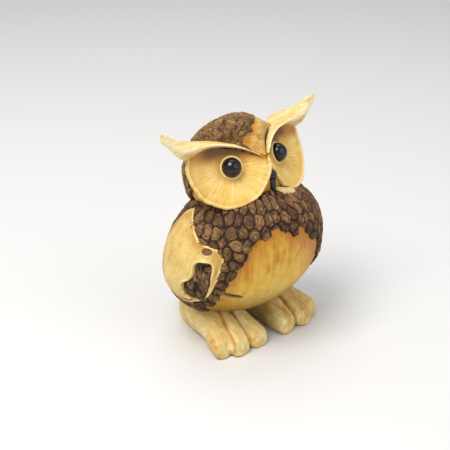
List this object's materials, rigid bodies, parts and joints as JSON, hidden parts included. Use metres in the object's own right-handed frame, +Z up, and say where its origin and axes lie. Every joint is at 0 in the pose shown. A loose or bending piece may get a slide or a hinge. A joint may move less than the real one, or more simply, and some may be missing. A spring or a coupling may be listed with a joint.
{
  "type": "owl figurine",
  "caption": "Small standing owl figurine in the carved-nut style: round body, scaly rind mantle, dished face discs, ear horns, bead eyes and toed feet.",
  "frame": {"origin": "middle of the overall box, at the level of the soles", "axes": "+Z up, the face looks along -Y, +X to the owl's own left"},
  "size_m": [0.084, 0.0688, 0.0964],
  "materials": {
    "scraped_flesh": "cast resin with a scraped-nut look: satin, finely grooved, ochre wash in the hollows",
    "foot_flesh": "cast resin, satin cream with ochre wash between the toes",
    "horn_cream": "cast resin, satin cream, rubbed pale on the edges",
    "ivory_disc": "cast resin, satin ivory with fine lines running out from the eye",
    "rind": "cast resin, matt dark brown scales dry-brushed tan on the ridges",
    "dark_rind": "cast resin, matt near-black bark",
    "crown_rind": "cast resin, matt mottled brown bark",
    "beak_black": "gloss black enamel",
    "bead_glass": "polished opaque black glass",
    "dowel_wood": "plain turned wood"
  },
  "bodies": {
    "root": {"belly_body": "scraped_flesh", "chest_mantle": "rind", "back_mantle": "rind", "wing_right": "scraped_flesh", "wing_left": "scraped_flesh", "wing_bark_right": "dark_rind", "wing_bark_left": "dark_rind", "tail": "rind", "foot_right": "foot_flesh", "foot_left": "foot_flesh", "chin_ruff": "horn_cream", "head_core": "scraped_flesh", "crown": "crown_rind", "forehead": "horn_cream", "disc_right": "ivory_disc", "disc_left": "ivory_disc", "brow_horn_right": "horn_cream", "brow_horn_left": "horn_cream", "eye_ring_right": "ivory_disc", "eye_ring_left": "ivory_disc", "eye_right": "bead_glass", "eye_left": "bead_glass", "beak": "beak_black", "neck_dowel": "dowel_wood", "foot_dowel_right": "dowel_wood", "foot_dowel_left": "dowel_wood"}
  },
  "joints": []
}
